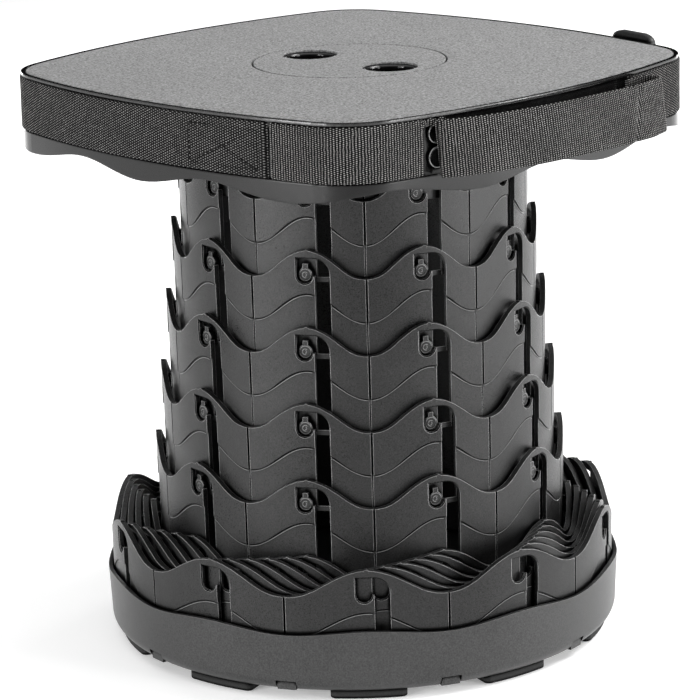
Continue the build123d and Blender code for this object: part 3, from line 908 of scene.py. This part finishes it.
def slider_outlines(curve):
    """Slider plate with a window each side of its middle bar."""
    soft_box(curve, 0, SLIDER_HALF_LENGTH, SLIDER_HALF_HEIGHT, SLIDER_ARCH, 0.2)
    window = (2 * SLIDER_HALF_LENGTH - 3 * SLIDER_BAR) / 4
    for side in (1, -1):
        centre_x = side * (SLIDER_BAR / 2 + window)
        soft_box(curve, centre_x, window, WINDOW_HALF_HEIGHT, 0, 0.25)


def slider():
    """Tri-glide slider: thick rounded plate with two windows and a middle bar."""
    point, along, outward = wall_frame(SLIDER_FACING, SLIDER_OUT)
    turned = Matrix(((along.x, 0, outward.x), (along.y, 0, outward.y), (0, 1, 0)))
    place = Vector((*point, STRAP_TOP - STRAP_WIDTH / 2))

    def lift(x):
        """Slight crown along the plate."""
        return SLIDER_CROWN * (1 - (x / SLIDER_HALF_LENGTH) ** 2)

    name = "slider_buckle"
    mesh = flat_plate(name, slider_outlines, SLIDER_THICKNESS, SLIDER_EDGE, turned, place, lift)
    piece = plate_piece(name, mesh, trim_plastic)
    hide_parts("strap_slider")


POST_SWING = -10.2
POST_HEIGHT = 262.3
POST_SPACING = 10.7
POST_OUT = 1
POST_RIM_RADIUS = 4.55
POST_RIM_OUT = 1.3
POST_RIM_THICKNESS = 0.24
# (radius, out along the axis) from the wall to the middle of the post's face
POST_PROFILE = (
    (0, 0),
    (4.9, 0),
    (4.9, 0.9),
    (4.75, 1.2),
    (4.5, 1.35),
    (4.2, 1.3),
    (4, 1.0),
    (3.7, 0.85),
    (2, 0.95),
    (0, 1),
)


def posts():
    """Two domed posts with a raised rim, beside the carry strap's folded end."""
    point, along, outward = wall_frame(FRONT_RIGHT + POST_SWING, POST_OUT)
    caps, rims = [], []
    for side in (1, -1):
        height = POST_HEIGHT + side * POST_SPACING / 2
        caps.append(lathe(POST_PROFILE, Vector((*point, height)), Vector((*outward, 0))))
        circle = []
        for i in range(LATHE_SEGMENTS + 1):
            reach = polar(POST_RIM_RADIUS, 360 * i / LATHE_SEGMENTS)
            spot = point + outward * POST_RIM_OUT + along * reach.x
            circle.append(Vector((*spot, height + reach.y)))
        rims.append(tube(circle, POST_RIM_THICKNESS, ends=1))
    piece = new_piece("post_caps", *joined(caps), shell_plastic, "seat", "trim_plastic")
    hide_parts("strap_posts")
    # the rims are drawn pale as a painted highlight
    new_piece("post_rims", *joined(rims), rim_plastic, "seat", "trim_plastic")


slider()
posts()


# ---- lock pin heads -----------------------------------------------------------------
PIN_MARK_RADIUS = 0.28
# (radius, sweep, starting angle) of the rim and of the two curls inside it
PIN_CURLS = ((2.75, 360, 0), (1.35, 250, 40), (0.62, 200, 250))


def section_radius(number):
    """Radius of a section at its panel edges; 12 is the seat's collar."""
    return OUTER_SECTION_RADIUS - (number - 1) * RADIAL_STEP


def section_bottom(number):
    """Height of a section's lower edge; the seat's collar stands one pitch over the last."""
    return NEST_BOTTOM_Z + max(0, number - (SECTIONS - DRAWN_OUT)) * PITCH


def crest_angle(number):
    """Direction of one crest of a section."""
    nested = range(number, SECTIONS - DRAWN_OUT)
    return DRAWN_CREST_ANGLE - sum(degrees(LOCK_ARC / section_radius(n)) for n in nested)


def pin_marks(number):
    """Raised rim and curl on the head of each of a section's lock pins."""
    height = section_bottom(number) + PIN_RISE
    distance = section_radius(number) + PIN_HEAD_OUT
    parts = []
    for k in range(PANELS):
        angle = crest_angle(min(number, SECTIONS)) + 360 / PANELS * k
        outward, along = polar(1, angle), polar(1, angle + 90)
        centre = outward * distance + along * PIN_X
        for radius, sweep, start in PIN_CURLS:
            steps = 20
            path = []
            for i in range(steps + 1):
                reach = polar(radius, start + sweep * i / steps)
                path.append(Vector((*(centre + along * reach.x), height + reach.y)))
            parts.append(tube(path, PIN_MARK_RADIUS, ends=0.9 if sweep == 360 else 0.5))
    body = "seat" if number > SECTIONS else f"stage_{number:02d}"
    # drawn in the paler plastic as a painted highlight
    new_piece(f"pin_marks_{number:02d}", *joined(parts), painted_highlight_plastic, body, "ring_plastic")


for number in range(2, SECTIONS + 2):
    pin_marks(number)


# ---- beads below the wavy bands -----------------------------------------------------
def panel_distance(outer, x):
    """Distance of a panel's domed face from the axis, x along from its middle."""
    half = radians(180 / PANELS)
    middle, edge, half_chord = outer - PANEL_DOME_LOSS, outer * cos(half), outer * sin(half)
    rise = middle - edge
    dome = (half_chord**2 + rise**2) / (2 * rise)
    return middle - dome + sqrt(dome**2 - x**2)


def band_beads(number):
    """Fine bead that follows each panel's band, on the recessed face just below it."""
    bottom = section_bottom(number)
    outer = section_radius(number) - BAND_STEP
    half = section_radius(number) * sin(radians(180 / PANELS))
    swing = pi / half
    runs = (
        (-half + BEAD_END_GAP, SLOT_LEFT - BEAD_END_GAP),
        (SLOT_RIGHT + BEAD_END_GAP, half - BEAD_END_GAP),
    )
    parts = []
    for k in range(PANELS):
        angle = crest_angle(number) + 360 / PANELS * k
        outward, along = polar(1, angle), polar(1, angle + 90)
        for start, end in runs:
            steps = ceil((end - start) / BEAD_STEP)
            path = []
            for i in range(steps + 1):
                x = start + (end - start) * i / steps
                fall = WAVE_DROP / 2 * (1 - cos(x * swing))
                slope = WAVE_DROP / 2 * swing * sin(x * swing)
                off = BEAD_GAP / sqrt(1 + slope**2)
                x_bead = x - slope * off
                rise = SECTION_HEIGHT - BAND_HEIGHT - fall - off
                face = panel_distance(outer - FLARE * (1 - rise / SECTION_HEIGHT), x_bead)
                spot = outward * (face - BEAD_SUNK) + along * x_bead
                path.append(Vector((*spot, bottom + rise)))
            parts.append(tube(path, BEAD_RADIUS))
    body = "base" if number == 1 else f"stage_{number:02d}"
    # drawn in the paler plastic as a painted highlight
    new_piece(f"band_beads_{number:02d}", *joined(parts), painted_highlight_plastic, body, "ring_plastic")


for number in range(1, SECTIONS + 1):
    band_beads(number)


# ---- stage --------------------------------------------------------------------------
# distances here are metres
FLOOR_GLOW = 0.26
FLOOR_REACH = 12
FLOOR_DROP = 0.0003
LAMP_DISTANCE = 1.9
LAMP_HEIGHT = 0.36
LAMP_AIM = (0, 0, 0.15)
LAMP_SIZE = (0.4, 0.7)
# (azimuth, power); azimuth 0 is the camera's side, and positive ones are to its right
LAMPS = ((-60, 20), (-43, 17), (57, 19), (84, 20), (150, 11), (-150, 11))
HIGH_LAMP_PLACE = (1.1, 0.1, 1.35)
HIGH_LAMP_AIM = (0, 0, 0.27)
HIGH_LAMP_SIZE = (0.8, 0.8)
HIGH_LAMP_POWER = 19


def pale_floor():
    """Plain pale floor with a slight glow, set just below the feet."""
    n = Nodes("floor")
    coords = n.add("ShaderNodeTexCoord").outputs["Object"]
    cloud = n.noise(coords, 3, detail=2)
    n.set(Base_Color=n.mix(cloud, grey(0.95), grey(0.97)), Roughness=0.9, Specular_IOR_Level=0.1)
    n.set(Emission_Color=(1, 1, 1, 1), Emission_Strength=FLOOR_GLOW)
    mesh = bpy.data.meshes.new("floor")
    corners = [(x * FLOOR_REACH, y * FLOOR_REACH) for x, y in ((-1, -1), (1, -1), (1, 1), (-1, 1))]
    mesh.from_pydata([(x, y, -FLOOR_DROP) for x, y in corners], [], [(0, 1, 2, 3)])
    mesh.materials.append(n.material)
    made = bpy.data.objects.new("floor", mesh)
    bpy.context.scene.collection.objects.link(made)


def softbox(name, place, aim, size, power):
    """Rectangular lamp that points at a spot."""
    lamp = bpy.data.lights.new(name, "AREA")
    lamp.shape = "RECTANGLE"
    lamp.size, lamp.size_y = size
    lamp.energy = power
    made = bpy.data.objects.new(name, lamp)
    made.location = place
    made.rotation_euler = (Vector(aim) - Vector(place)).to_track_quat("-Z", "Y").to_euler()
    bpy.context.scene.collection.objects.link(made)


pale_floor()
for azimuth, power in LAMPS:
    place = (*polar(LAMP_DISTANCE, azimuth - 90), LAMP_HEIGHT)
    softbox(f"softbox_{azimuth}", place, LAMP_AIM, LAMP_SIZE, power)
softbox("softbox_high", HIGH_LAMP_PLACE, HIGH_LAMP_AIM, HIGH_LAMP_SIZE, HIGH_LAMP_POWER)

# the sky is black up to SKY_DARK_BELOW, and brightest from SKY_FULL_ABOVE up
SKY_DARK_BELOW = 0.35
SKY_FULL_ABOVE = 0.9
world = bpy.data.worlds.new("studio")
world.use_nodes = True
sky = world.node_tree
background = sky.nodes["Background"]
direction = sky.nodes.new("ShaderNodeTexCoord").outputs["Generated"]
upward = sky.nodes.new("ShaderNodeSeparateXYZ")
sky.links.new(direction, upward.inputs[0])
ramp = sky.nodes.new("ShaderNodeMapRange")
sky.links.new(upward.outputs["Z"], ramp.inputs["Value"])
ramp.inputs["From Min"].default_value = SKY_DARK_BELOW
ramp.inputs["From Max"].default_value = SKY_FULL_ABOVE
sky.links.new(ramp.outputs["Result"], background.inputs["Strength"])
background.inputs["Color"].default_value = (1, 1, 1, 1)
bpy.context.scene.world = world
bpy.context.scene.view_settings.view_transform = "Standard"

CAMERA_DISTANCE = 1589.4
CAMERA_HEIGHT = 14.653
CAMERA_TARGET_Z = 141.9
CAMERA_ROLL = 1.546
CAMERA_LENS = 168.8
CAMERA_SHIFT = (-0.00986, -0.0217)

lens = bpy.data.cameras.new("camera")
lens.lens = CAMERA_LENS
lens.sensor_width = 36
lens.shift_x, lens.shift_y = CAMERA_SHIFT
lens.clip_start = 0.05
lens.clip_end = 60
camera = bpy.data.objects.new("camera", lens)
reach, rise = polar(CAMERA_DISTANCE * MM, CAMERA_HEIGHT)
camera.location = (0, -reach, CAMERA_TARGET_Z * MM + rise)
look = Euler((radians(90 - CAMERA_HEIGHT), 0, 0)).to_matrix()
camera.rotation_euler = (look @ Matrix.Rotation(radians(-CAMERA_ROLL), 3, "Z")).to_euler()
bpy.context.scene.collection.objects.link(camera)
bpy.context.scene.camera = camera
